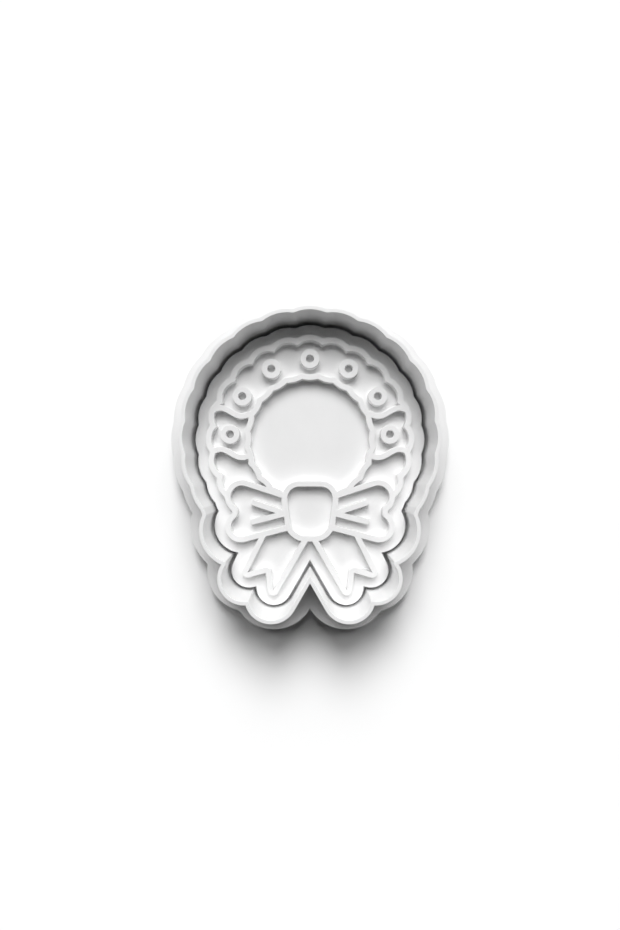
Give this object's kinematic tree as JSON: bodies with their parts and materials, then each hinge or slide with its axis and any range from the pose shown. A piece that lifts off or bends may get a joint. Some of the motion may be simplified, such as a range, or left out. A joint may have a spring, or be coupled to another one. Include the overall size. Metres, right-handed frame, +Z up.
{
  "type": "cookie cutter with stamp",
  "caption": "Scalloped wreath-and-bow cookie cutter with a thin blade on a flat flange, and a loose stamp plate with raised ribs that lies inside it.",
  "frame": {"origin": "middle of the flange's footprint, on the surface that the cutter and the stamp lie on", "axes": "+X to the right of the wreath, +Y from the bow's tails to the top of the wreath, +Z up from the flange to the blade's edge"},
  "size_m": [0.075, 0.0888, 0.014],
  "materials": {
    "white_plastic": "smooth matte white print"
  },
  "bodies": {
    "cutter": {"cutter": "white_plastic"},
    "stamp": {"stamp": "white_plastic"}
  },
  "joints": [
    {"name": "stamp_lift", "type": "slide", "parent": "cutter", "child": "stamp", "axis": [0, 0, 1], "range_m": [0, 0.014]}
  ]
}
